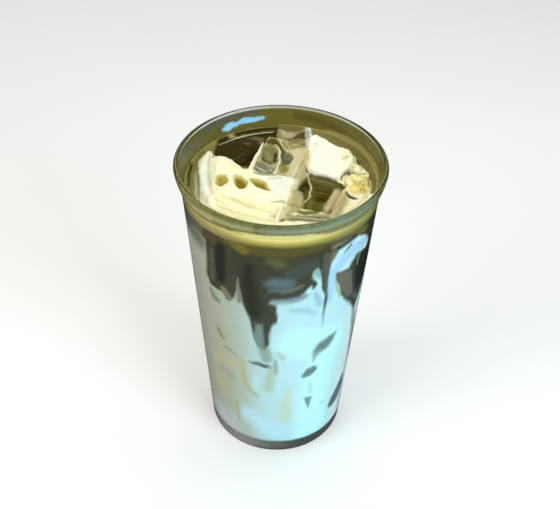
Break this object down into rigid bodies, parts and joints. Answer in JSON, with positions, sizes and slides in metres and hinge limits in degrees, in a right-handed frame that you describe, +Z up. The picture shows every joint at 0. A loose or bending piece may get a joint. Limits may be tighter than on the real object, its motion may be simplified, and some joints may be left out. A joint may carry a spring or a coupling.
{
  "type": "iced matcha latte",
  "caption": "Tall flared glass tumbler of iced matcha latte: milk below, dark matcha sinking into it in fingers, pale froth and floating ice cubes on top.",
  "frame": {"origin": "centre of the glass's foot, on the surface it stands on", "axes": "+Z up, -Y towards the side that the picture shows, +X to its right"},
  "size_m": [0.0878, 0.0878, 0.144],
  "materials": {
    "glass": "clear, faintly green, polished",
    "milk": "smooth cool white liquid",
    "matcha": "smooth dark green-brown liquid",
    "froth": "fine pale froth with bubbles and ridges",
    "ice": "wet melting ice"
  },
  "bodies": {
    "root": {"glass": "glass", "milk": "milk", "matcha": "matcha", "froth": "froth", "ice_cube_centre": "ice", "ice_cube_front_right": "ice", "ice_cube_back_right": "ice", "ice_cube_front_left": "ice", "ice_cube_back_left": "ice"}
  },
  "joints": []
}
